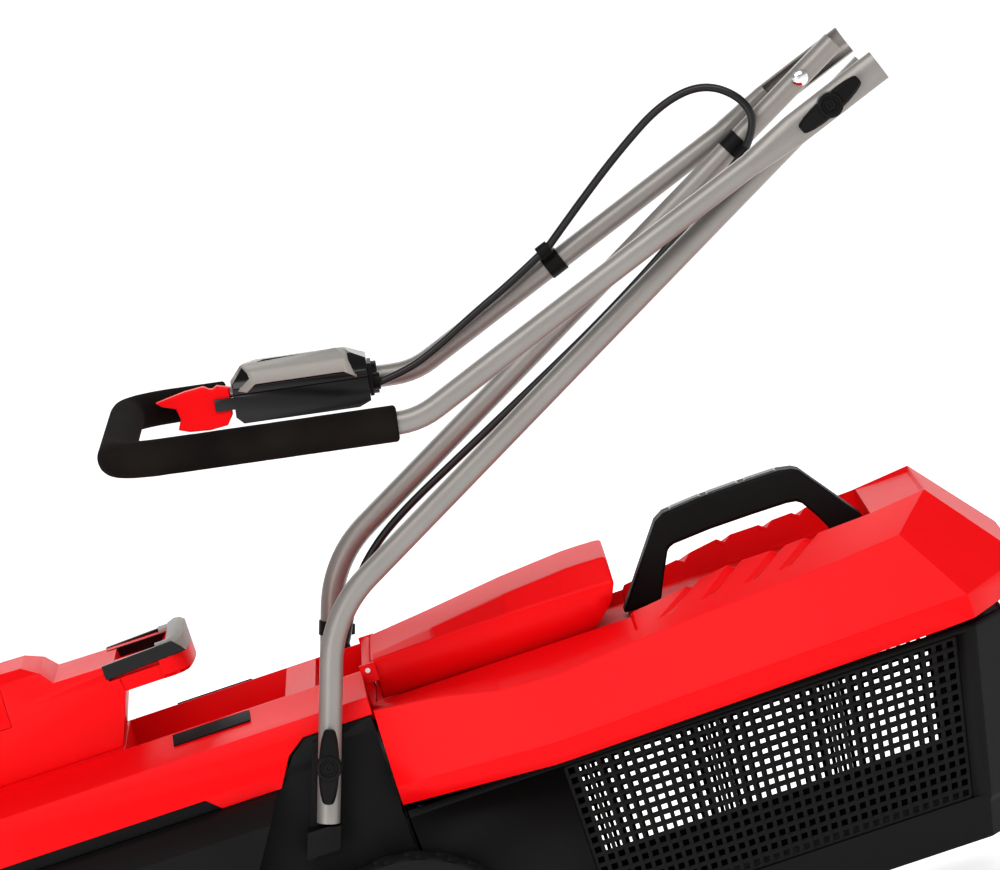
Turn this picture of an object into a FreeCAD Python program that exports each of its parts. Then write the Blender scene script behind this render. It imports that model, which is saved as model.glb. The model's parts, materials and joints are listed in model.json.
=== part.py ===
import FreeCAD, Part
import math
import os

# Push lawn mower: X forward, Y to the operator's left, Z up, ground at Z = 0.
# Shapes are drawn from the rear wheel axis and moved to the middle of the length on export.

SHEET = 3.0            # moulded wall
FIT = 0.05             # running clearance on a radius
GAP = 0.5              # gap between neighbouring mouldings

TUBE_R = 11.0
TUBE_WALL = 1.5
LOWER_Y = 180.0        # lower tube lane
UPPER_Y = 204.0        # handlebar lane
FOOT = (38.0, 278.0)   # lower tube, bottom end (x, z)
LOWER_PIVOT = (20.0, 330.0)
FOOT_SWING = 57.5      # the foot of the tube swings inside this radius
LOWER_BEND = (-28.2, 463.4)
UPPER_PIVOT = (-611.0, 768.0)
LOWER_TOP = (-653.5, 790.2)
LOWER_BEND_R = 120.0
BAR_BEND = (-162.2, 611.4)
BAR_BEND_R = 75.0
CROSSBAR = (116.5, 662.56)
CROSSBAR_R = 45.0
BAR_TILT = 19.235      # handlebar arms, degrees below level going forward
GRIP_TILT = 10.4       # grip, degrees above level going forward
CHANNEL_END = 58.0     # pressed channel beyond the pivot
CHANNEL_START = 90.0   # pressed channel before the pivot
CHANNEL_FULL = 40.0
FOAM_R = 17.0
FOAM_END = -143.0      # left end of the foam along the grip
FOAM_STOP = 20.0       # right end, against the switch box

REAR_WHEEL_R = 115.0
FRONT_WHEEL_R = 90.0
FRONT_X = 440.0
WHEEL_IN = 172.0
WHEEL_OUT = 217.0
AXLE_R = 6.0
REAR_CRANK = (38.0, 108.0)
FRONT_CRANK = (482.0, 100.0)

DECK_HALF = 162.0
WIDE_HALF = 205.0
PARTING = 0.3          # gap between the deck's mouldings
DECK_REAR = -30.0
DECK_FRONT = 505.0
SKIRT_Z = 42.0
CEILING_Z = 150.0
CHAMBER_X = 250.0
CHAMBER_R = 185.0
WALL = 4.0
TUNNEL_HALF = 100.0

HOOD_HALF = 62.0
COVER_TOP = 389.0
SHOULDER_Y = 86.0      # inner edge of the cover's shoulder
CREASE = (151.0, 374.0)  # outer edge of the shoulder (y, z)
TROUGH_HALF = 84.0
HINGE = (-38.0, 388.0)  # rear flap hinge
BAY_HINGE = (445.0, 435.0)
LID_RIM_Z = 262.6
WINDOW_FRONT = -184.0
WINDOW_LOW_REAR = -540.0
WINDOW_TOP_REAR = -572.0
WINDOW_LOW = 101.0
WINDOW_HIGH = 256.0
MESH_COLUMNS = 36
MESH_ROWS = 15
CABLE_R = 4.0

SHOULDER_FALL = math.atan2(COVER_TOP - CREASE[1], CREASE[0] - SHOULDER_Y)

parts = {}


def vec(x, y, z):
    return FreeCAD.Vector(x, y, z)


def face_of(points):
    return Part.Face(Part.makePolygon(points + points[:1]))


def prism_y(outline, y0, y1):
    """Extrude an (x, z) outline from y0 to y1."""
    return face_of([vec(x, y0, z) for x, z in outline]).extrude(vec(0, y1 - y0, 0))


def prism_x(outline, x0, x1):
    """Extrude a (y, z) outline from x0 to x1."""
    return face_of([vec(x0, y, z) for y, z in outline]).extrude(vec(x1 - x0, 0, 0))


def prism_z(outline, z0, z1):
    return face_of([vec(x, y, z0) for x, y in outline]).extrude(vec(0, 0, z1 - z0))


def block(x0, x1, y0, y1, z0, z1):
    return Part.makeBox(x1 - x0, y1 - y0, z1 - z0, vec(x0, y0, z0))


def rod(start, end, radius):
    axis = end - start
    return Part.makeCylinder(radius, axis.Length, start, axis)


def rod_y(x, z, y0, y1, radius):
    return rod(vec(x, y0, z), vec(x, y1, z), radius)


def flip(shape):
    return shape.mirror(vec(0, 0, 0), vec(0, 1, 0))


def both(shape):
    return Part.makeCompound([shape, flip(shape)])


def mirrored_outline(half):
    """Close a half section (y >= 0) with its mirror image."""
    return half + [(-y, z) for y, z in reversed(half)]


def unit(vector):
    result = FreeCAD.Vector(vector)
    result.normalize()
    return result


def fillet_wire(points, radii):
    """Straight runs joined by tangent arcs, one radius for each inner point."""
    edges = []
    start = points[0]
    for index, radius in enumerate(radii):
        corner = points[index + 1]
        back = unit(points[index] - corner)
        ahead = unit(points[index + 2] - corner)
        half = 0.5 * (math.pi - back.getAngle(ahead))
        reach = radius * math.tan(half)
        first = corner + back * reach
        last = corner + ahead * reach
        centre = corner + unit(back + ahead) * (radius / math.cos(half))
        middle = centre + unit(corner - centre) * radius
        edges.append(Part.LineSegment(start, first).toShape())
        edges.append(Part.Arc(first, middle, last).toShape())
        start = last
    edges.append(Part.LineSegment(start, points[-1]).toShape())
    return Part.Wire(edges)


def cord_radii(points):
    radii = []
    for index in range(1, len(points) - 1):
        back = points[index - 1] - points[index]
        ahead = points[index + 1] - points[index]
        half = 0.5 * (math.pi - back.getAngle(ahead))
        radii.append(0.45 * min(back.Length, ahead.Length) / math.tan(half))
    return radii


def sweep(wire, radius):
    edge = wire.Edges[0]
    start = edge.valueAt(edge.FirstParameter)
    direction = edge.tangentAt(edge.FirstParameter)
    ring = Part.Wire([Part.Circle(start, direction, radius).toShape()])
    return wire.makePipeShell([ring], True, False)


def hollow_tube(wire):
    return sweep(wire, TUBE_R).cut(sweep(wire, TUBE_R - TUBE_WALL))


def cord(name, points):
    radii = cord_radii(points)
    print(name, "arc radii", [round(radius, 1) for radius in radii])
    wire = fillet_wire(points, radii)
    solid = sweep(wire, CABLE_R)
    print(name, "length", round(wire.Length), "volume ratio",
          round(solid.Volume / (math.pi * CABLE_R ** 2 * wire.Length), 3))
    return solid


def keep(name, *shapes):
    solids = []
    for shape in shapes:
        solids.extend(shape.Solids)
    parts[name] = solids[0] if len(solids) == 1 else Part.makeCompound(solids)


# ---------------------------------------------------------------- deck

def wide_outline(inset):
    return [(140 + inset, 0), (140 + inset, 215), (112 + inset, 259), (64 + inset, 334),
            (335 - inset, 334), (335 - inset, 0)]


def wide_section(inset):
    half = WIDE_HALF - inset
    return mirrored_outline([(half, 0), (half, 296), (180 - inset, 316), (168 - inset, 319.5)])


def narrow_outline(inset):
    return [(DECK_REAR + inset, 0), (DECK_REAR + inset, 336), (424 - inset, 336),
            (498 - inset, 262), (DECK_FRONT - inset, 246), (DECK_FRONT - inset, 0)]


def deck_block(inset, low, high):
    wide = prism_y(wide_outline(inset), -WIDE_HALF, WIDE_HALF)
    wide = wide.common(prism_x(wide_section(inset), 0, 400))
    half = DECK_HALF - inset
    body = prism_y(narrow_outline(inset), -half, half).fuse(wide)
    return body.common(block(-100, 600, -300, 300, low, high))


def tunnel(inset):
    half = TUNNEL_HALF + WALL - inset
    reach = 195 - 2.2 * inset
    rear = DECK_REAR - (1 if inset else 0)
    return prism_y([(rear, 124 + inset), (rear, 259 - inset), (reach, CEILING_Z + WALL - inset),
                    (reach, 124 + inset)], -half, half)


def rear_shoulders():
    """Black shoulders behind the tube feet that carry on the slope of the cover."""
    section = [(DECK_HALF, 320), (DECK_HALF, 343), (156, 357.4), (139, 357.4), (139, 320)]
    bank = prism_x(section, DECK_REAR, 66)
    bank = bank.common(prism_y([(-60, 357.4), (34, 357.4), (51, 345), (65, 326), (65, 300),
                                (-60, 300)], 0, 300))
    ribs = []
    for front in (69, 47):
        ribs.append(prism_y([(front, 244), (front - 40, 352), (front - 49, 352), (front - 9, 244)],
                            DECK_HALF - 2, DECK_HALF + 3.5))
    bearer = rod_y(LOWER_PIVOT[0], LOWER_PIVOT[1], 139, DECK_HALF + 5, 14)
    post = prism_y([(26, 276), (59, 276), (68, 252), (35, 252)], DECK_HALF - 2, 190)
    post = post.cut(rod_y(LOWER_PIVOT[0], LOWER_PIVOT[1], 100, 250, FOOT_SWING))
    return bank.multiFuse(ribs + [bearer, post])


def deck_moulding():
    """The whole black deck before it is parted into body, side bulges and tube feet."""
    chamber = Part.makeCylinder(CHAMBER_R, CEILING_Z, vec(CHAMBER_X, 0, 0))
    chamber_wall = Part.makeCylinder(CHAMBER_R + WALL, CEILING_Z, vec(CHAMBER_X, 0, 0))
    shell = deck_block(0, SKIRT_Z, 340)
    under = deck_block(WALL, 0, CEILING_Z).cut(chamber_wall)
    above = deck_block(WALL, CEILING_Z + WALL, 400)
    shell = shell.cut(under).cut(above).cut(chamber)
    shell = shell.cut(block(-60, 55, -190, 190, 0, 80))
    shell = shell.fuse(tunnel(0)).cut(tunnel(WALL))
    shoulder = rear_shoulders()
    shell = shell.multiFuse([shoulder, flip(shoulder)])
    boss = Part.makeCylinder(20, 12, vec(CHAMBER_X, 0, CEILING_Z - 12))
    shell = shell.fuse(boss).cut(Part.makeCylinder(12, 60, vec(CHAMBER_X, 0, CEILING_Z - 30)))
    for x, z in (REAR_CRANK, FRONT_CRANK):
        shell = shell.cut(rod_y(x, z, -250, 250, 5 + FIT))
    bolt_hole = rod_y(LOWER_PIVOT[0], LOWER_PIVOT[1], 150, 200, 4)
    return shell.cut(bolt_hole).cut(flip(bolt_hole))


def deck_pieces():
    """Body between the wheels, a bulge on each side of the blade, and the feet of the tubes."""
    whole = deck_moulding()
    body = whole.common(block(-100, 600, -DECK_HALF, DECK_HALF, 0, 400))
    outside = whole.common(block(-100, 600, DECK_HALF + PARTING, 300, 0, 400))
    bulge = outside.common(prism_y(wide_outline(0), 0, 300))
    feet = outside.cut(prism_y(wide_outline(-PARTING), 0, 300))
    return body, both(bulge), both(feet)


def cover_body(inset):
    section = mirrored_outline([(168 - inset, 200), (168 - inset, 334 - 0.4 * inset),
                                (CREASE[0] - 0.8 * inset, CREASE[1] - inset),
                                (SHOULDER_Y, COVER_TOP - inset)])
    side = [(-32 - inset, 200), (-32 - inset, 400), (455 - inset, 400), (512 - inset, 292),
            (512 - inset, 200)]
    return prism_x(section, -40, 520).common(prism_y(side, -200, 200))


def shoulder_point(x, y):
    """Point on the left shoulder of the cover."""
    return vec(x, y, COVER_TOP - (y - SHOULDER_Y) * math.tan(SHOULDER_FALL))


def deck_cover():
    cover = cover_body(0).cut(cover_body(SHEET))
    below = [(-60, 0), (-60, 358), (36, 358), (54, 346), (70, 320), (128, 320), (141, 332),
             (430, 332), (503, 262), (540, 262), (540, 0)]
    cover = cover.cut(prism_y(below, -200, 200))
    half = TROUGH_HALF
    trough = block(-32, 207, -half - SHEET, half + SHEET, 341, 387)
    cover = cover.fuse(trough)
    cover = cover.cut(block(-40, 14, -half, half, 344, 420))
    cover = cover.cut(block(44, 204, -half, half, 344, 420))
    cover = cover.cut(block(17, 41, -half, half, 330, 383))
    cover = cover.cut(block(216, 448, -54, 54, 330, 420))
    ear = block(-46, -31, half, 90, 376, 394)
    cover = cover.multiFuse([ear, flip(ear)])
    return cover.cut(rod_y(HINGE[0], HINGE[1], -100, 100, 2.5))


def hood_outline(inset):
    return [(206 + inset, 389.3), (187 + inset, 437), (190 + inset, 466 - inset),
            (249, 467 - inset), (259, 479 - inset), (276, 488 - inset), (302, 489 - inset),
            (405, 474 - inset),
            (450 - inset, 430), (457 - inset, 389.3)]


def hood_body(inset):
    half = HOOD_HALF - inset
    section = mirrored_outline([(half, 380), (half, 452), (half - 10, 480), (half - 24, 490)])
    return prism_y(hood_outline(inset), -half, half).common(prism_x(section, 100, 500))


def motor_hood():
    hood = hood_body(0).cut(hood_body(SHEET).cut(block(100, 206, -80, 80, 380, 500)))
    rails = block(132, 200, 40, 59, 438, 467)
    rails = rails.cut(block(120, 198.5, 55, 62, 452, 470))
    hood = hood.multiFuse([rails, flip(rails)])
    seat = block(180, 198.5, 55, 66, 452, 470)
    hood = hood.cut(seat).cut(flip(seat))
    hood = hood.cut(block(299.5, 500, -70, 70, 440, 500))
    hood = hood.cut(block(214, 450, -52, 52, 380, 396))
    x, z = BAY_HINGE
    hood = hood.cut(block(x - 16, x + 20, -34.5, 34.5, z - 9, z + 10))
    lug = block(x - 4, x + 4, 36, 44, z - 20, z + 4)
    pin = rod_y(x, z, 30, 44, 2.5)
    return hood.multiFuse([lug, flip(lug), pin, flip(pin)])


def battery_cover():
    lid = hood_body(0).cut(hood_body(SHEET))
    lid = lid.common(block(300, 500, -70, 70, 440.5, 500))
    x, z = BAY_HINGE
    knuckle = rod_y(x, z, -34, 34, 5)
    web = prism_y([(x - 16, z + 13), (x - 4, z + 9), (x + 3, z), (x - 5, z - 2)], -34, 34)
    lid = lid.multiFuse([knuckle, web])
    slot = block(x - 12, x + 20, 34.5, 45.5, z, z + 7)
    return lid.cut(slot).cut(flip(slot)).cut(rod_y(x, z, -60, 60, 2.5 + FIT))


def handle_end_cap():
    outline = [(112, 445), (118, 437.5), (131, 437.5), (131, 467.5), (124, 469), (114, 462)]
    cap = prism_y(outline, -59.5, 59.5)
    inner = block(140, 150, -40, 40, 400, 500)
    corner = Part.makeCylinder(30, 60, vec(142, 29.5, 420))
    outer = corner.fuse(flip(corner)).fuse(block(112, 142, -29.5, 29.5, 420, 480))
    outer = outer.fuse(block(131.5, 142, -59.5, 59.5, 420, 480))
    return cap.common(outer).cut(inner)


def handle_grip_pads():
    pad = block(133, 198, 55.3, 59.6, 452.3, 466)
    return both(pad)


def side_badges():
    plate = block(80, 156, -13, 13, 0.3, 1.8)
    plate.rotate(vec(0, 0, 0), vec(1, 0, 0), -math.degrees(SHOULDER_FALL))
    plate.translate(shoulder_point(118, 105))
    plate.translate(vec(-118, 0, 0))
    return both(plate)


def motor_housing():
    can = Part.makeCylinder(50, 146, vec(CHAMBER_X, 0, CEILING_Z + WALL + 0.3))
    return can.cut(Part.makeCylinder(8 + FIT, 134, vec(CHAMBER_X, 0, CEILING_Z)))


def battery_packs():
    pack = block(322, 436, 3, 49, 342, 428)
    pack = pack.fuse(block(334, 420, 8, 44, 427, 434))
    return both(pack)


def safety_key():
    return block(304, 316, -9, 9, 404, 430).fuse(block(306, 314, -5, 5, 396.5, 405))


def deck_bolts():
    bolt = rod_y(LOWER_PIVOT[0], LOWER_PIVOT[1], 150, 203, 4)
    return both(bolt)


def cable_gland():
    axis = vec(0, -math.sin(SHOULDER_FALL), math.cos(SHOULDER_FALL))
    seat = flip_point(shoulder_point(-11, 143)) + axis * 0.3
    ring = rod(seat, seat + axis * 8, 8)
    return ring.cut(cable_bore(CABLE_DECK, 0.35))


def flap_hinge_pin():
    return rod_y(HINGE[0], HINGE[1], -89, 89, 2.5)


# ---------------------------------------------------------------- wheels and height

def axle(crank, wheel_x, wheel_z):
    shaft = rod_y(crank[0], crank[1], -169.5, 169.5, 5)
    pieces = []
    for side in (1, -1):
        arm = [vec(crank[0], 0, crank[1]), vec(wheel_x, 0, wheel_z)]
        along = unit(arm[1] - arm[0])
        across = vec(-along.z, 0, along.x) * 8
        corners = [arm[0] + across, arm[1] + across, arm[1] - across, arm[0] - across]
        outline = [(corner.x, corner.z) for corner in corners]
        y0, y1 = sorted((side * 164.5, side * 169.5))
        pieces.append(prism_y(outline, y0, y1))
        pieces.append(rod_y(crank[0], crank[1], y0, y1, 8))
        pieces.append(rod_y(wheel_x, wheel_z, y0, y1, 8))
        pieces.append(rod_y(wheel_x, wheel_z, y0, side * 216 if side > 0 else y1, AXLE_R))
    pieces[-1] = rod_y(wheel_x, wheel_z, -216, -164.5, AXLE_R)
    return shaft.multiFuse(pieces)


def turned(profile, x, z, side):
    """Revolve a (y, r) profile about the wheel axis."""
    points = [vec(x, side * y, z + r) for y, r in profile]
    return face_of(points).revolve(vec(x, 0, z), vec(0, 1, 0), 360)


def wheel(x, radius, side):
    z = radius
    rim_r = radius - 24
    tyre = turned([(WHEEL_IN, rim_r), (WHEEL_IN, radius - 8), (WHEEL_IN + 3, radius - 2),
                   (WHEEL_IN + 9, radius), (WHEEL_OUT - 9, radius), (WHEEL_OUT - 3, radius - 2),
                   (WHEEL_OUT, radius - 8), (WHEEL_OUT, rim_r)], x, z, side)
    edge = rim_r - FIT
    rim = turned([(WHEEL_IN + 1, AXLE_R + FIT), (WHEEL_IN + 1, 18), (190, 20), (190, edge - 8),
                  (175, edge - 6), (175, edge), (214, edge), (214, edge - 6), (198, edge - 9),
                  (198, 20), (213, 18), (213, AXLE_R + FIT)], x, z, side)
    cap = turned([(216.5, 0), (216.5, 20), (214.8, 22), (213.5, 26), (215, 32), (218.5, 30),
                  (221, 22), (221, 0)], x, z, side)
    return tyre, rim, cap


def height_lever():
    arm = prism_y([(222, 176), (238, 176), (243, 250), (250, 292), (238, 296), (228, 250)],
                  -213, -208)
    boss = rod_y(230, 180, -213, -205.5, 12)
    knob = prism_y([(236, 270), (248, 268), (254, 304), (236, 308)], -220, -206)
    return arm.multiFuse([boss, knob])


# ---------------------------------------------------------------- cutting

def blade():
    half = 175
    flat = block(CHAMBER_X - half, CHAMBER_X + half, -24, 24, 56, 59)
    wing = prism_y([(CHAMBER_X + 105, 56), (CHAMBER_X + half, 56), (CHAMBER_X + half, 70),
                    (CHAMBER_X + half - 3, 71), (CHAMBER_X + 120, 59)], -24, -21)
    other = wing.copy()
    other.rotate(vec(CHAMBER_X, 0, 0), vec(0, 0, 1), 180)
    bar = flat.multiFuse([wing, other])
    return bar.cut(Part.makeCylinder(5 + FIT, 20, vec(CHAMBER_X, 0, 50)))


def blade_carrier():
    plate = Part.makeCylinder(36, 8, vec(CHAMBER_X, 0, 59.3))
    hub = Part.makeCylinder(18, 40, vec(CHAMBER_X, 0, 67))
    return plate.fuse(hub).cut(Part.makeCylinder(8 + FIT, 60, vec(CHAMBER_X, 0, 59)))


def motor_shaft():
    shaft = Part.makeCylinder(8, 224, vec(CHAMBER_X, 0, 59.5))
    return shaft.cut(Part.makeCylinder(5, 22, vec(CHAMBER_X, 0, 59)))


def blade_bolt():
    head = Part.makeCylinder(11, 7, vec(CHAMBER_X, 0, 48.6))
    washer = Part.makeCylinder(17, 2.5, vec(CHAMBER_X, 0, 53.3))
    shank = Part.makeCylinder(4.95, 24, vec(CHAMBER_X, 0, 54))
    return head.multiFuse([washer, shank])


# ---------------------------------------------------------------- handle frame

def lower_tube():
    points = [vec(FOOT[0], LOWER_Y, FOOT[1]), vec(LOWER_BEND[0], LOWER_Y, LOWER_BEND[1]),
              vec(LOWER_TOP[0], LOWER_Y, LOWER_TOP[1])]
    tube = hollow_tube(fillet_wire(points, [LOWER_BEND_R]))
    tube = tube.cut(rod_y(LOWER_PIVOT[0], LOWER_PIVOT[1], 100, 300, 4 + FIT))
    return tube.cut(rod_y(UPPER_PIVOT[0], UPPER_PIVOT[1], 100, 300, 3 + FIT))


def upper_bolts():
    x, z = UPPER_PIVOT
    shank = rod_y(x, z, 166, 222, 3)
    dome = Part.makeSphere(11, vec(x, 174, z))
    dome = dome.common(block(x - 8.2, x + 8.2, 160, 168.6, z - 8.2, z + 8.2))
    dome = dome.common(rod_y(x, z, 160, 168.6, 8.2))
    return both(shank.fuse(dome))


def clip(tube_at, direction, cable_at, width, room):
    """Moulded clip: a strap round the tube and a small eye with room round the cable."""
    along = unit(direction)
    half = along * (0.5 * width)
    offset = cable_at - tube_at
    offset = offset - along * offset.dot(along)
    eye = tube_at + offset
    strap = rod(tube_at - half, tube_at + half, TUBE_R + 1.4)
    loop = rod(eye - half * 0.7, eye + half * 0.7, CABLE_R + room + 1.6)
    side = unit(offset)
    up = along.cross(side)
    corners = []
    for along_sign, up_sign in ((1, 1), (-1, 1), (-1, -1), (1, -1)):
        corners.append(tube_at + side * 8 + half * (0.7 * along_sign) + up * (3.5 * up_sign))
    web = face_of(corners).extrude(side * (offset.Length - 9))
    solid = strap.multiFuse([loop, web])
    solid = solid.cut(rod(tube_at - half * 2, tube_at + half * 2, TUBE_R + FIT))
    return solid.cut(rod(eye - half * 2, eye + half * 2, CABLE_R + room))


CABLE_LOWER = [vec(-535, -160, 716), vec(-449, -163, 658), vec(-353, -167, 604), vec(-264, -171, 561),
               vec(-182, -173, 522), vec(-112, -173, 489), vec(-72, -173, 464), vec(-42, -173, 434),
               vec(-24, -172, 400)]
CABLE_UPPER = [vec(-127, -184, 614), vec(-156, -184, 616), vec(-192, -184, 628),
               vec(-236, -185, 648), vec(-284, -186, 667), vec(-326, -188, 687)]
CABLE_LOOP = [vec(-326, -188, 687), vec(-372, -184, 721), vec(-424, -178, 757),
              vec(-475, -171, 787), vec(-520, -165, 793), vec(-552, -161, 768),
              vec(-556, -160, 737), vec(-535, -160, 716)]
CABLE_DECK = [vec(-24, -172, 400), vec(-20, -161, 391), vec(-12, -147, 380)]


def cable_bore(points, clearance):
    return sweep(fillet_wire(points, cord_radii(points)), CABLE_R + clearance)


def on_lower_tube(x):
    """Point on the axis of the right lower tube."""
    near, far = (FOOT, LOWER_BEND) if x > LOWER_BEND[0] else (LOWER_BEND, LOWER_TOP)
    share = (x - near[0]) / (far[0] - near[0])
    return vec(x, -LOWER_Y, near[1] + share * (far[1] - near[1]))


def lower_cable_clips():
    slope = vec(LOWER_TOP[0] - LOWER_BEND[0], 0, LOWER_TOP[1] - LOWER_BEND[1])
    top = clip(on_lower_tube(-530), slope, CABLE_LOWER[0], 18, 0.35)
    lean = vec(LOWER_BEND[0] - FOOT[0], 0, LOWER_BEND[1] - FOOT[1])
    low = clip(on_lower_tube(-5.3), lean, CABLE_LOWER[-1], 14, 0.35)
    top = top.cut(cable_bore(CABLE_LOWER, 0.35)).cut(cable_bore(CABLE_LOOP, 0.35))
    low = low.cut(cable_bore(CABLE_LOWER, 0.35)).cut(cable_bore(CABLE_DECK, 0.35))
    return Part.makeCompound([top, low])


def bar_point(distance, y):
    """Point on a handlebar arm, measured forward from the upper pivot."""
    tilt = math.radians(BAR_TILT)
    return vec(UPPER_PIVOT[0] + distance * math.cos(tilt), y,
               UPPER_PIVOT[1] - distance * math.sin(tilt))


def bar_frame(distance, y):
    """Placement matrix with local Z along the arm toward its free end."""
    tilt = math.radians(BAR_TILT)
    at = bar_point(distance, y)
    return FreeCAD.Matrix(math.sin(tilt), 0, -math.cos(tilt), at.x,
                          0, 1, 0, at.y,
                          math.cos(tilt), 0, math.sin(tilt), at.z,
                          0, 0, 0, 1)


def oval(distance, y, along, across):
    if along == across:
        edge = Part.Circle(vec(0, 0, 0), vec(0, 0, 1), along).toShape()
    else:
        edge = Part.Ellipse(vec(0, 0, 0), along, across).toShape()
    edge.Placement = FreeCAD.Placement(bar_frame(distance, y))
    return Part.Wire([edge])


def arm_channel():
    """Arm end pressed from a tube into a channel open toward the middle."""
    socket = oval(CHANNEL_START, UPPER_Y, TUBE_R + 0.5, TUBE_R + 0.5)
    full = oval(CHANNEL_FULL, 200, 15, 9.5)
    run = bar_point(-CHANNEL_END, 200) - bar_point(CHANNEL_FULL, 200)
    outer = Part.makeLoft([socket, full], True, True).fuse(Part.Face(full).extrude(run))
    groove = Part.Face(oval(CHANNEL_FULL - 6, 197, 13.3, 11)).extrude(run * 1.2)
    channel = outer.removeSplitter().cut(groove)
    return channel.cut(block(-800, -400, 100, 192.8, 600, 900))


def handlebar_wire(start, stop):
    bend = vec(BAR_BEND[0], UPPER_Y, BAR_BEND[1])
    corner = vec(CROSSBAR[0], UPPER_Y, CROSSBAR[1])
    points = [start, bend, corner, flip_point(corner), flip_point(bend), stop]
    return fillet_wire(points, [BAR_BEND_R, CROSSBAR_R, CROSSBAR_R, BAR_BEND_R])


def flip_point(point):
    return vec(point.x, -point.y, point.z)


def handlebar():
    start = bar_point(CHANNEL_START - 3, UPPER_Y)
    wire = handlebar_wire(start, flip_point(start))
    channel = arm_channel()
    bar = hollow_tube(wire).fuse(channel).fuse(flip(channel))
    x, z = UPPER_PIVOT
    return bar.cut(rod_y(x, z, -300, 300, 3 + FIT))


def grip_point(x, y):
    return vec(x, y, CROSSBAR[1] + (x - CROSSBAR[0]) * math.tan(math.radians(GRIP_TILT)))


def foam_grip():
    corner = vec(CROSSBAR[0], UPPER_Y, CROSSBAR[1])
    points = [grip_point(FOAM_END, UPPER_Y), corner, flip_point(corner),
              grip_point(FOAM_STOP, -UPPER_Y)]
    wire = fillet_wire(points, [CROSSBAR_R, CROSSBAR_R])
    return sweep(wire, FOAM_R).cut(sweep(wire, TUBE_R + FIT))


def on_grip(shape):
    """Place a shape drawn along the X axis onto the right grip bar."""
    shape.rotate(vec(0, 0, 0), vec(0, 1, 0), -GRIP_TILT)
    shape.translate(grip_point(0, -UPPER_Y))
    return shape


def switch_box_body():
    shell = prism_y([(-120, -18), (-108, -23), (6, -23), (13, -16), (13, 5), (-120, 5)], -23, 40)
    shell = shell.cut(rod(vec(-200, 0, 0), vec(100, 0, 0), TUBE_R + FIT))
    shell = shell.cut(rod(vec(-50, -24, -8), vec(-50, -12, -8), 8.2))
    lugs = [block(12, 32, 17.5, 20.3, -8, 4), block(12, 32, 36.5, 40, -8, 4)]
    pin = rod(vec(25, 17.5, -2), vec(25, 40, -2), 3)
    return on_grip(shell.multiFuse(lugs + [pin]))


def switch_box_cover():
    section = [(-23, 5.3), (-23, 18), (-10, 33), (18, 35), (32, 24), (40, 12), (40, 5.3)]
    side = [(-120, 5.3), (-120, 24), (-100, 33), (-30, 37), (2, 30), (13, 16), (13, 5.3)]
    cover = prism_x(section, -120, 13).common(prism_y(side, -30, 50))
    cover = cover.cut(rod(vec(-200, 0, 0), vec(100, 0, 0), TUBE_R + FIT))
    return on_grip(cover)


def switch_box_end():
    collar = rod(vec(-129, 0, 0), vec(-120.4, 0, 0), 16)
    boss = rod(vec(-131, 20, -2), vec(-120.4, 20, -2), 8.5)
    plate = block(-124, -120.4, -12, 36, -14, 18)
    piece = collar.multiFuse([boss, plate])
    piece = piece.cut(rod(vec(-200, 0, 0), vec(100, 0, 0), TUBE_R + FIT))
    return on_grip(piece.cut(rod(vec(-140, 20, -2), vec(-119, 20, -2), CABLE_R + 0.6)))


def trigger_lever():
    outline = [(16, -10), (16, 12), (34, 16), (40, 12), (84, 9), (72, -2), (62, -8), (64, -22),
               (54, -26), (30, -20)]
    lever = prism_y(outline, 20.9, 35.9)
    return on_grip(lever.cut(rod(vec(25, 0, -2), vec(25, 60, -2), 3 + FIT)))


def lock_button():
    return on_grip(rod(vec(-50, -27, -8), vec(-50, -16.2, -8), 8))


def bar_cable_clip():
    tilt = math.radians(BAR_TILT)
    along = vec(math.cos(tilt), 0, -math.sin(tilt))
    return clip(bar_point(301, -UPPER_Y), along, CABLE_LOOP[0], 18, 1.3)


def wing_knob(at, base_y, side, angle, bolt_r, depth):
    """Hub with two tapering wings; the wings lie along the tube."""
    hub = Part.makeCylinder(12, 15, vec(0, 0, 0))
    wing = prism_z([(8, 9.5), (24, 8), (35, 4.5), (35, -4.5), (24, -8), (8, -9.5)], 3, 13)
    other = wing.copy()
    other.rotate(vec(0, 0, 0), vec(0, 0, 1), 180)
    knob = hub.multiFuse([wing, other]).cut(Part.makeCylinder(bolt_r + FIT, depth))
    knob.rotate(vec(0, 0, 0), vec(1, 0, 0), -90)
    knob.rotate(vec(0, 0, 0), vec(0, 1, 0), -angle)
    knob.translate(vec(at[0], base_y, at[1]))
    return knob if side > 0 else flip(knob)


# ---------------------------------------------------------------- rear flap and grass box

def flap_body(inset):
    side = [(-50 - inset, 300), (-50 - inset, 396 - inset), (-120, 404 - inset),
            (-230, 408 - inset), (-283 + inset, 392 - inset), (-244 + inset, 353), (-244 + inset, 300)]
    section = mirrored_outline([(84 - inset, 300), (84 - inset, 356), (80 - inset, 386 - inset),
                                (62 - inset, 410 - inset)])
    body = prism_y(side, -100, 100).common(prism_x(section, -300, -40))
    return body.common(block(-300, -40, -100, 100, 354 if inset == 0 else 300, 420))


def rear_flap():
    flap = flap_body(0).cut(flap_body(2.5))
    corner = block(-59, -40, 82, 100, 340, 420)
    flap = flap.cut(corner).cut(flip(corner))
    knuckle = rod_y(HINGE[0], HINGE[1], -82, 82, 6)
    knuckle = knuckle.fuse(block(-54, HINGE[0], -60, 60, 385, 392))
    return flap.fuse(knuckle).cut(rod_y(HINGE[0], HINGE[1], -90, 90, 2.5 + FIT))


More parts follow.
